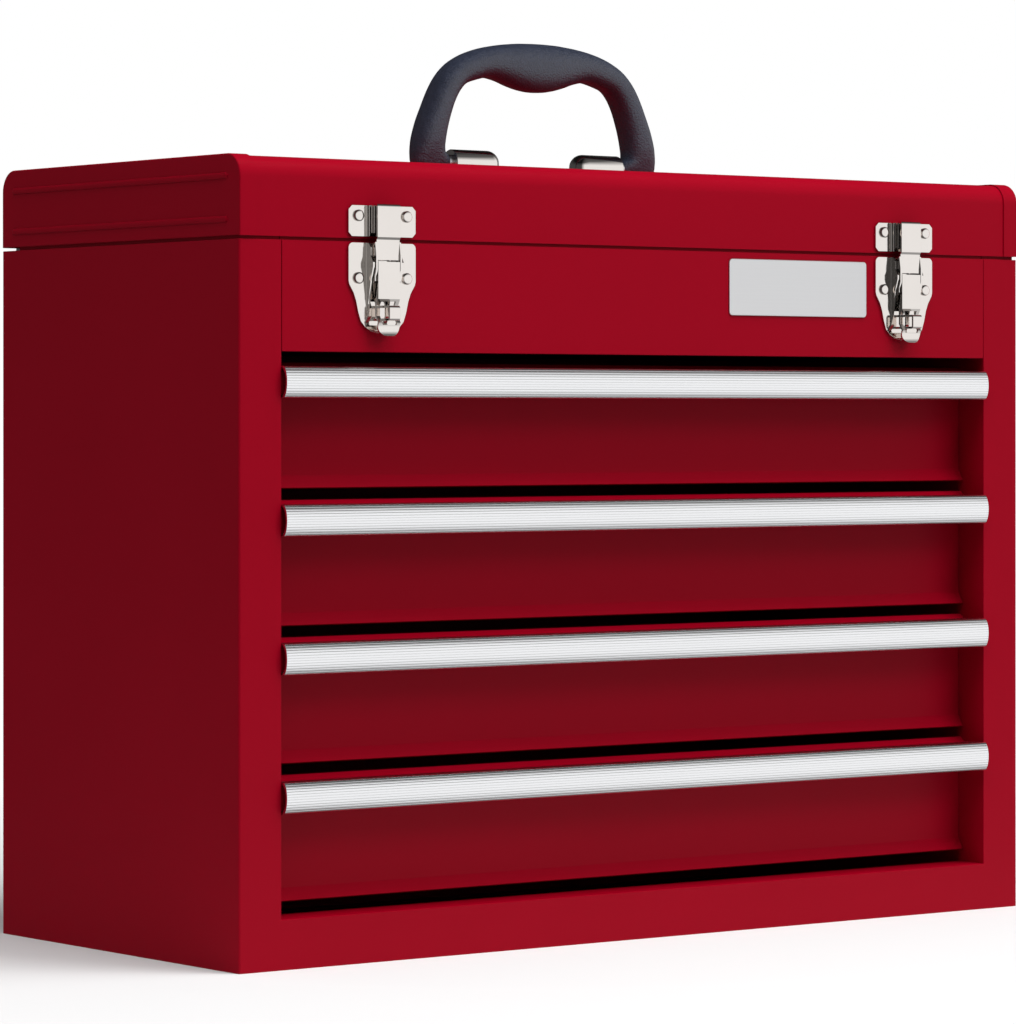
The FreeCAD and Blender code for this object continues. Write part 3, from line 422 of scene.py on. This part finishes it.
def lidLine(low, high, radius, inset=0.0):
    # the lid seen from the side, from the front skirt's lower edge over to the back skirt's
    points = [(low.y + inset, low.z + inset), (low.y + inset, high.z - inset),
              (high.y - inset, high.z - inset), (high.y - inset, low.z + inset)]
    return roundedLine(points, radius - inset, lidPiece["steps"])


def lidCover():
    # the lid's outline with the sheet's thickness inside it, carried along X
    low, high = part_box("lid_cover")
    section = sheetSection(lidLine(low, high, lidPiece["round"]), -lidPiece["steel"])
    piece = tube("lid_cover_skin", runAlongX(section, [low.x, high.x]), redPaint)
    dress(piece, "lid", "red_paint", "lid_cover")


def lidBead(face, side, middle, half, height):
    # a rib with round ends: at each angle its rim stands out by the sine and narrows by a power of
    # the cosine
    values = lidPiece
    widest = values["beadWidth"] / 2
    rings = []
    for angle in np.linspace(0, math.pi / 2 * values["beadTop"], values["beadRings"]):
        width = widest * math.cos(angle) ** values["beadFullness"]
        outline = roundedPlate(half - widest + width, width, width * 0.999)
        x = np.full(len(outline), face + side * values["beadProud"] * math.sin(angle))
        rings.append(np.column_stack([x, outline[:, 0] + middle, outline[:, 1] + height]))
    return tube("bead", np.array(rings), redPaint)


def lidCap(word):
    node = f"lid_{word}_cap"
    side = sides[word]
    low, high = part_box(node)
    values = lidPiece
    radius = values["round"] + values["capSteel"]
    outer = (high.x if side > 0 else low.x) - side * values["beadProud"]
    inner = low.x if side > 0 else high.x
    wall = outer - side * values["capSteel"]
    # flange round the cover
    section = sheetSection(lidLine(low, high, radius), -values["capSteel"])
    pieces = [tube("flange", runAlongX(section, [inner, wall]), redPaint)]
    # end wall, whose outer edge is rounded in steps of an arc
    turn = np.linspace(0, math.pi / 2, values["rounding"])
    places = outer - side * values["edge"] * (1 - np.sin(turn))
    insets = values["edge"] * (1 - np.cos(turn))
    rings = []
    for place, inset in zip(places, insets):
        line = lidLine(low, high, radius, inset)
        rings.append(np.column_stack([np.full(len(line), place), line]))
    pieces.append(tube("wall", np.array(rings), redPaint))
    for height in values["beadHeights"]:
        half = (high.y - low.y) / 2 - values["beadMargin"]
        pieces.append(lidBead(outer, side, (high.y + low.y) / 2, half, low.z + height))
    dress(joined(pieces, node + "_skin"), "lid", "red_paint", node)


lidCover()
for word in sides:
    lidCap(word)
print("sheet pieces made")


# Drawer fronts: one folded sheet from the splayed lip, up the recessed face, over the bevel,
# along the shelf and down the nose

frontPiece = {"bend": 1.4 * mm, "sheet": 0.8 * mm, "lipRise": 6.3 * mm, "lipRun": 3.5 * mm,
              "topDrop": 0.9 * mm, "bevelRun": 4 * mm, "shelfDrop": 3.8 * mm,
              "noseDrop": 4.9 * mm, "noseEnd": 17.2 * mm}


def drawerFront(number):
    # the fold line with rounded bends and the sheet's thickness behind it, carried along X
    node = f"drawer_{number}_front"
    low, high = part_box(node)
    values = frontPiece
    sheet = values["sheet"]
    face = high.y - sheet
    line = roundedLine([
        (face - values["lipRun"], low.z + sheet / 2),
        (face, low.z + values["lipRise"]),
        (face, high.z - values["topDrop"]),
        (face - values["bevelRun"], high.z - values["shelfDrop"] - sheet),
        (low.y + sheet, high.z - values["noseDrop"] - sheet),
        (low.y + sheet, high.z - values["noseEnd"]),
    ], values["bend"])
    piece = tube(node + "_skin", runAlongX(sheetSection(line, -sheet), [low.x, high.x]), redPaint)
    dress(piece, f"drawer_{number}", "red_paint", node)


for number in drawers:
    drawerFront(number)
print("drawer fronts made")


# Aluminium pulls: a bowed face with fine grooves, legs above and below, and a hook behind the
# nose. Turns are shares of half a turn.

pullPiece = {"grooves": 10, "pitch": 1.36 * mm, "depth": 0.09 * mm, "half": 0.19 * mm,
             "wall": 1.2 * mm, "edge": 3.5 * mm, "hook": 1.3 * mm, "hookLap": 1.1,
             "faceTurn": 0.49, "samples": 300, "insideTurn": 0.39, "insideSamples": 15}


def drawerPull(number):
    node = f"drawer_{number}_pull"
    low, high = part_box(node)
    values = pullPiece
    half = (high.z - low.z) / 2
    middle = (high.z + low.z) / 2
    # the face is half an ellipse, lowered at each groove by a bell-shaped dip
    turn = np.linspace(values["faceTurn"], -values["faceTurn"], values["samples"]) * math.pi
    rise = half * np.sin(turn)
    centres = (np.arange(values["grooves"]) - (values["grooves"] - 1) / 2) * values["pitch"]
    away = (rise[:, None] - centres) / values["half"]
    dip = values["depth"] * np.exp(-away ** 2).sum(axis=1)
    outer = np.stack([low.y + values["edge"] * (1 - np.cos(turn)) + dip, middle + rise], axis=1)
    wall = values["wall"]
    bend = values["insideTurn"]
    turn = np.linspace(-bend, bend, values["insideSamples"]) * math.pi
    inside = np.stack([low.y + wall + values["edge"] * (1 - np.cos(turn)),
                       middle + (half - wall) * np.sin(turn)], axis=1)
    hookFront = high.y - values["hook"] * values["hookLap"]
    hookTop = low.z + wall + values["hook"]
    lower = [(high.y, low.z), (high.y, hookTop), (hookFront, hookTop), (hookFront, low.z + wall),
             (inside[0][0], low.z + wall)]
    upper = [(inside[-1][0], high.z - wall), (high.y, high.z - wall), (high.y, high.z)]
    section = np.vstack([outer, lower, inside[1:-1], upper])
    grid = runAlongX(section, [low.x, high.x])
    piece = tube(node + "_skin", grid, drawnAluminium, smoothAngle=50)
    dress(piece, f"drawer_{number}", "pull_aluminium", node)


for number in drawers:
    drawerPull(number)
print("pulls made")


# Pieces that keep their CAD mesh

keptNodes = ["cabinet_slide_members", "hinge_pin", "handle_rods", "latch_pivot_pins",
             "latch_link_pin_left", "latch_link_pin_right"]
for number in drawers:
    keptNodes += [f"drawer_{number}_slide_members", f"drawer_{number}_ball_cages"]
for node in keptNodes:
    mesh = nodes[node].data
    mesh.materials.clear()
    mesh.materials.append(materialOf[slotOf[node]])


# Nameplate, left plain: a rounded plate with a fine rolled edge

platePiece = {"round": 2 * mm, "edge": 0.3 * mm, "rolled": 0.3}


def nameplate():
    # four rounded rectangles, each drawn in by its inset, from the back over the rolled edge
    low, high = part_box("nameplate")
    centre = (low + high) / 2
    values = platePiece
    edge = values["edge"]
    rolled = edge * values["rolled"]
    rings = []
    for y, inset in ((high.y, 0), (low.y + edge, 0), (low.y + rolled, rolled), (low.y, edge)):
        outline = roundedPlate((high.x - low.x) / 2 - inset, (high.z - low.z) / 2 - inset,
                               values["round"] - inset)
        rings.append(np.column_stack([outline[:, 0] + centre.x, np.full(len(outline), y),
                                      outline[:, 1] + centre.z]))
    piece = tube("nameplate_skin", np.array(rings), plateAluminium)
    dress(piece, "cabinet", "plate_aluminium", "nameplate")


nameplate()


# Draw latches

latchPiece = {"edge": 0.16 * mm, "tab": 6.5 * mm, "tabBow": 1.0 * mm, "tabSteps": 8,
              "body": {"base": "cabinet", "staple": "cabinet", "strike": "lid"}}
rivetPiece = {"radius": 2.9 * mm, "height": 1.7 * mm, "across": 14.5 * mm, "baseDrop": 17.3 * mm,
              "strikeRise": 10.2 * mm, "sides": 36, "plate": 1.2 * mm,
              "profile": [(1.0, 0.0), (1.0, 0.42), (0.975, 0.62), (0.90, 0.80), (0.74, 0.93),
                          (0.45, 1.0), (0.05, 1.0)]}


def rivetHead(x, y, z):
    # a low domed head: its profile, in shares of radius and height, turned about an axis along Y
    values = rivetPiece
    profile = np.array(values["profile"])
    turn = np.linspace(0, 2 * math.pi, values["sides"], endpoint=False)
    grid = np.empty((len(profile), len(turn), 3))
    grid[:, :, 0] = x + profile[:, :1] * values["radius"] * np.cos(turn)
    grid[:, :, 1] = y - profile[:, 1:] * values["height"]
    grid[:, :, 2] = z + profile[:, :1] * values["radius"] * np.sin(turn)
    return tube("head", grid, brightPlate, smoothAngle=60)


def curveTab(piece, node):
    # the finger tab below the slot bows in between its ends, by a parabola over its height
    low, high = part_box(node)
    height = latchPiece["tab"]
    work = bmesh.new()
    work.from_mesh(piece.data)
    for share in np.linspace(0, 1, latchPiece["tabSteps"] + 1)[1:]:
        geometry = work.verts[:] + work.edges[:] + work.faces[:]
        cut = (0, 0, low.z + share * height)
        bmesh.ops.bisect_plane(work, geom=geometry, plane_co=cut, plane_no=(0, 0, 1))
    work.to_mesh(piece.data)
    work.free()
    points = np.empty(len(piece.data.vertices) * 3)
    piece.data.vertices.foreach_get("co", points)
    points = points.reshape(-1, 3)
    share = (points[:, 2] - low.z) / height
    points[:, 1] += latchPiece["tabBow"] * 4 * share * np.maximum(1 - share, 0)
    piece.data.vertices.foreach_set("co", points.ravel())


def latchRivets(part, word):
    values = rivetPiece
    low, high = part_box(f"latch_{part}_{word}")
    x = (low.x + high.x) / 2
    z = high.z - values["baseDrop"] if part == "base" else low.z + values["strikeRise"]
    front = high.y - values["plate"]
    heads = [rivetHead(x + end * values["across"], front, z) for end in sides.values()]
    piece = joined(heads, f"latch_{part}_rivets_{word}")
    dress(piece, latchPiece["body"][part], "bright_plating")


for word in sides:
    for part in ("base", "staple", "strike", "lever", "link"):
        node = f"latch_{part}_{word}"
        body = latchPiece["body"].get(part, node)
        piece = softened(node, latchPiece["edge"], brightPlate)
        if part == "lever":
            curveTab(piece, node)
        dress(piece, body, "bright_plating", node)
    latchRivets("base", word)
    latchRivets("strike", word)
print("latches made")


# Piano hinge: two leaves and the knuckles that take turns along the pin

hingePiece = {"knuckles": 31, "radius": 2.6 * mm, "gap": 0.35 * mm, "sides": 24, "leaf": 0.9 * mm,
              "webFront": 0.3 * mm, "notch": 0.5 * mm}


def rectangleYZ(y0, y1, z0, z1):
    return np.array([(y0, z0), (y1, z0), (y1, z1), (y0, z1)])


def hingeLeaf(node, body, first, up):
    # a flat leaf, and a round knuckle with a flat web on every second place along the pin
    values = hingePiece
    low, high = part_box(node)
    pinLow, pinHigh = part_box("hinge_pin")
    centre = (pinLow + pinHigh) / 2
    run = (high.x - low.x) / values["knuckles"]
    turn = np.linspace(0, 2 * math.pi, values["sides"], endpoint=False)
    ring = np.stack([np.cos(turn), np.sin(turn)], axis=1) * values["radius"]
    ring += (centre.y, centre.z)
    near = centre.z + up * (values["radius"] + values["notch"])
    far = high.z if up > 0 else low.z
    outer = low.y + values["leaf"]
    leaf = rectangleYZ(low.y, outer, min(near, far), max(near, far))
    web = rectangleYZ(low.y + values["webFront"], outer, min(centre.z, near), max(centre.z, near))
    pieces = [tube("leaf", runAlongX(leaf, [low.x, high.x]), zincPlate)]
    for place in range(first, values["knuckles"], 2):
        start = low.x + run * place + values["gap"] / 2
        ends = [start, start + run - values["gap"]]
        pieces.append(tube("knuckle", runAlongX(ring, ends), zincPlate))
        pieces.append(tube("web", runAlongX(web, ends), zincPlate))
    dress(joined(pieces, node + "_skin"), body, "zinc_steel", node)


hingeLeaf("hinge_cabinet_leaf", "cabinet", 0, -1)
hingeLeaf("hinge_lid_leaf", "lid", 1, 1)
print("hinge made")


# Carrying handle. Stations from a foot to the middle, in millimetres: x and height above the
# axis, half thickness outward and inward, half depth. The feet have a toe round the rod, on the
# inside, and are shallow there so that they clear the lid when the handle folds.

gripPiece = {
    "stations": [
        (70.0, -5.6, 6.8, 12.8, 3.6), (70.2, -3.0, 8.6, 14.2, 5.0), (70.3, 0.0, 9.6, 14.3, 6.2),
        (70.3, 2.8, 9.6, 12.6, 7.0), (70.3, 5.0, 9.4, 10.2, 7.6), (70.1, 8.0, 9.0, 9.1, 8.2),
        (69.6, 11.5, 8.6, 8.6, 8.7), (67.8, 18.5, 8.0, 8.0, 8.9), (65.1, 26.0, 7.3, 7.3, 9.0),
        (61.6, 34.2, 6.9, 6.9, 9.0), (57.3, 41.2, 6.8, 6.8, 9.0), (51.6, 46.7, 6.9, 6.9, 9.0),
        (43.5, 50.4, 7.5, 7.5, 9.2), (33.6, 53.0, 8.0, 8.0, 9.6), (24.0, 53.3, 9.6, 9.6, 10.0),
        (15.0, 52.5, 11.5, 11.5, 10.6), (7.0, 51.7, 12.6, 12.6, 11.0),
        (0.0, 51.45, 12.9, 12.9, 11.0),
    ],
    "samples": 150, "sides": 40, "power": 2.5, "closing": 3, "firstClosing": 0.5,
}


def handleGrip():
    # a section carried along the smooth line through the stations, square to its run
    low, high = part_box("handle_grip")
    rodLow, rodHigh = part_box("handle_rods")
    axis = (rodLow + rodHigh) / 2
    values = gripPiece
    right = np.array(values["stations"])
    left = right[-2::-1] * (-1, 1, 1, 1, 1)
    line = smoothLine(np.vstack([right, left]), values["samples"]) * mm
    run = np.gradient(line[:, :2], axis=0)
    run /= np.linalg.norm(run, axis=1)[:, None]
    inward = np.stack([-run[:, 1], run[:, 0]], axis=1)
    # section: a rounded square whose power sets how full its corners are
    turn = np.linspace(0, 2 * math.pi, values["sides"], endpoint=False)
    power = 2 / values["power"]
    wide = np.sign(np.cos(turn)) * np.abs(np.cos(turn)) ** power
    deep = np.sign(np.sin(turn)) * np.abs(np.sin(turn)) ** power
    # each end closes in a few shrinking rings
    closing = np.ones(len(line))
    shrink = np.sin(np.linspace(values["firstClosing"], 1, values["closing"]) * math.pi / 2)
    closing[:len(shrink)] = shrink
    closing[-len(shrink):] = shrink[::-1]
    half = np.where(wide > 0, line[:, 3:4], line[:, 2:3]) * closing[:, None] * wide
    grid = np.empty((len(line), len(turn), 3))
    grid[:, :, 0] = axis.x + line[:, :1] + inward[:, :1] * half
    grid[:, :, 1] = axis.y + line[:, 4:5] * closing[:, None] * deep
    grid[:, :, 2] = axis.z + line[:, 1:2] + inward[:, 1:] * half
    grid[:, :, 2] = np.clip(grid[:, :, 2], low.z, high.z)
    piece = tube("handle_grip_skin", grid, blackPlastic, smoothAngle=80)
    dress(piece, "handle", "black_plastic", "handle_grip")


handleGrip()

bracketPiece = {"dome": 10, "domeStart": 0.03, "sides": 32, "edge": 0.4 * mm, "rolled": 0.3}


def handleBracket(word):
    # half round above with straight sides down to the lid, and a quarter ball at the inner end,
    # where a ring's place goes by the cosine and its size by the sine
    node = "handle_bracket_" + word
    side = sides[word]
    low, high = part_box(node)
    radius = (high.y - low.y) / 2
    centreY = (low.y + high.y) / 2
    axis = high.z - radius
    inner, outer = (high.x, low.x) if side < 0 else (low.x, high.x)
    edge = bracketPiece["edge"]
    rolled = bracketPiece["rolled"]
    turn = np.linspace(bracketPiece["domeStart"], math.pi / 2, bracketPiece["dome"])
    places = list(inner + side * radius * (1 - np.cos(turn)))
    places += [outer - side * edge, outer - side * edge * rolled, outer]
    shares = list(np.sin(turn)) + [1, 1 - edge / radius * rolled, 1 - edge / radius]
    bow = np.linspace(0, math.pi, bracketPiece["sides"])
    arch = np.vstack([(1, -1), np.stack([np.cos(bow), np.sin(bow)], axis=1), (-1, -1)])
    rings = []
    for place, share in zip(places, shares):
        rise = np.where(arch[:, 1] < 0, low.z - axis, arch[:, 1] * radius * share)
        across = centreY + arch[:, 0] * radius * share
        rings.append(np.column_stack([np.full(len(arch), place), across, axis + rise]))
    piece = tube(node + "_skin", np.array(rings), brightPlate, smoothAngle=40)
    dress(piece, "lid", "bright_plating", node)


for word in sides:
    handleBracket(word)
print("handle made")


# Floor, lights, surroundings and camera

studio = {
    "floor": 0.9, "floorFade": 0.3, "floorShade": 0.76, "floorSides": 96,
    "cameraSpot": (-1.4843, -1.9453, 0.2679), "yaw": -37.15, "lens": 161.85, "shiftY": -0.0945,
    "panelTowards": (0.61, -0.79, 0.0), "panelStops": ((0.60, 0.06), (0.82, 1.0)),
    "heightStops": ((0.12, 0.30), (0.33, 1.0), (0.66, 1.0), (0.84, 0.11)),
    "evenLight": (0.27, 0.27, 0.275, 1),
    "lamps": {
        "key": {"place": (1.23, -2.13, 1.92), "aim": (0, 0, 0.2), "size": (1.6, 1.2), "power": 31},
        "top": {"place": (0.1, -0.9, 2.45), "aim": (0, 0, 0.25), "size": (2.2, 1.2), "power": 62},
        "left": {"place": (-1.7, -0.6, 2.5), "aim": (0, 0, 0.2), "size": (1.0, 1.0), "power": 11},
    },
}


def floor():
    # a disc that fades out towards its rim, and that metal doesn't mirror
    half = studio["floor"]
    turn = np.linspace(0, 2 * math.pi, studio["floorSides"], endpoint=False)
    rim = np.stack([half * np.cos(turn), half * np.sin(turn), np.zeros(len(turn))], axis=1)
    mesh = bpy.data.meshes.new("floor")
    mesh.from_pydata(rim.tolist(), [], [list(range(len(turn)))])
    material, tree, shader = newMaterial("paleFloor")
    shader.inputs["Base Color"].default_value = (studio["floorShade"],) * 3 + (1,)
    shader.inputs["Roughness"].default_value = 0.9
    shader.inputs["Specular IOR Level"].default_value = 0.1
    place = addNode(tree, "ShaderNodeTexCoord")
    distance = addNode(tree, "ShaderNodeVectorMath", operation="LENGTH")
    tree.links.new(place.outputs["Object"], distance.inputs[0])
    fade = spread(tree, distance.outputs["Value"], (studio["floorFade"], half), (1, 0))
    tree.links.new(fade, shader.inputs["Alpha"])
    disc = newObject("floor", mesh, material)
    disc.visible_glossy = False


def lamp(name, values):
    data = bpy.data.lights.new(name, "AREA")
    data.shape = "RECTANGLE"
    data.size, data.size_y = values["size"]
    data.energy = values["power"]
    light = bpy.data.objects.new(name, data)
    bpy.context.scene.collection.objects.link(light)
    light.location = values["place"]
    aim = Vector(values["aim"]) - Vector(values["place"])
    light.rotation_euler = aim.to_track_quat("-Z", "Y").to_euler()
    light.visible_glossy = False


def worldShade(tree, direction, towards, stops):
    # a grey that depends on how far a direction turns towards the given one; the outer stops are
    # the ramp's own two, and those between are added in order
    facing = addNode(tree, "ShaderNodeVectorMath", operation="DOT_PRODUCT")
    facing.inputs[1].default_value = towards
    tree.links.new(direction, facing.inputs[0])
    ramp = addNode(tree, "ShaderNodeValToRGB")
    tree.links.new(spread(tree, facing.outputs["Value"], (-1, 1), (0, 1)), ramp.inputs["Fac"])
    elements = ramp.color_ramp.elements
    elements[0].position, elements[1].position = stops[0][0], stops[-1][0]
    for place, grey in stops[1:-1]:
        elements.new(place)
    for element, (place, grey) in zip(elements, stops):
        element.color = (grey, grey, grey, 1)
    return ramp.outputs["Color"]


def surroundings():
    # white behind the object; metal sees white panels in front and to the right, and dark on the
    # left, behind, overhead and low down; everything else gets an even, weak light
    world = bpy.data.worlds.new("studio")
    bpy.context.scene.world = world
    world.use_nodes = True
    tree = world.node_tree
    tree.nodes.clear()
    direction = addNode(tree, "ShaderNodeTexCoord").outputs["Generated"]
    level = worldShade(tree, direction, studio["panelTowards"], studio["panelStops"])
    height = worldShade(tree, direction, (0, 0, 1), studio["heightStops"])
    panels = addNode(tree, "ShaderNodeMix", data_type="RGBA", blend_type="MULTIPLY")
    panels.inputs[0].default_value = 1
    tree.links.new(level, panels.inputs[6])
    tree.links.new(height, panels.inputs[7])
    mirrored = addNode(tree, "ShaderNodeBackground")
    tree.links.new(panels.outputs[2], mirrored.inputs["Color"])
    white = addNode(tree, "ShaderNodeBackground")
    white.inputs["Color"].default_value = (1, 1, 1, 1)
    weak = addNode(tree, "ShaderNodeBackground")
    weak.inputs["Color"].default_value = studio["evenLight"]
    path = addNode(tree, "ShaderNodeLightPath")
    glossy = addNode(tree, "ShaderNodeMath", operation="MAXIMUM")
    tree.links.new(path.outputs["Is Glossy Ray"], glossy.inputs[0])
    tree.links.new(path.outputs["Is Transmission Ray"], glossy.inputs[1])
    first = addNode(tree, "ShaderNodeMixShader")
    tree.links.new(glossy.outputs[0], first.inputs[0])
    tree.links.new(weak.outputs[0], first.inputs[1])
    tree.links.new(mirrored.outputs[0], first.inputs[2])
    second = addNode(tree, "ShaderNodeMixShader")
    tree.links.new(path.outputs["Is Camera Ray"], second.inputs[0])
    tree.links.new(first.outputs[0], second.inputs[1])
    tree.links.new(white.outputs[0], second.inputs[2])
    output = addNode(tree, "ShaderNodeOutputWorld")
    tree.links.new(second.outputs[0], output.inputs[0])


def camera():
    data = bpy.data.cameras.new("camera")
    data.lens = studio["lens"]
    data.sensor_width = 36
    data.shift_y = studio["shiftY"]
    data.clip_end = 100
    made = bpy.data.objects.new("camera", data)
    bpy.context.scene.collection.objects.link(made)
    made.location = studio["cameraSpot"]
    made.rotation_euler = (math.radians(90), 0, math.radians(studio["yaw"]))
    bpy.context.scene.camera = made


floor()
for name, values in studio["lamps"].items():
    lamp(name, values)
surroundings()
camera()
bpy.context.scene.view_settings.view_transform = "Standard"
print("studio made")
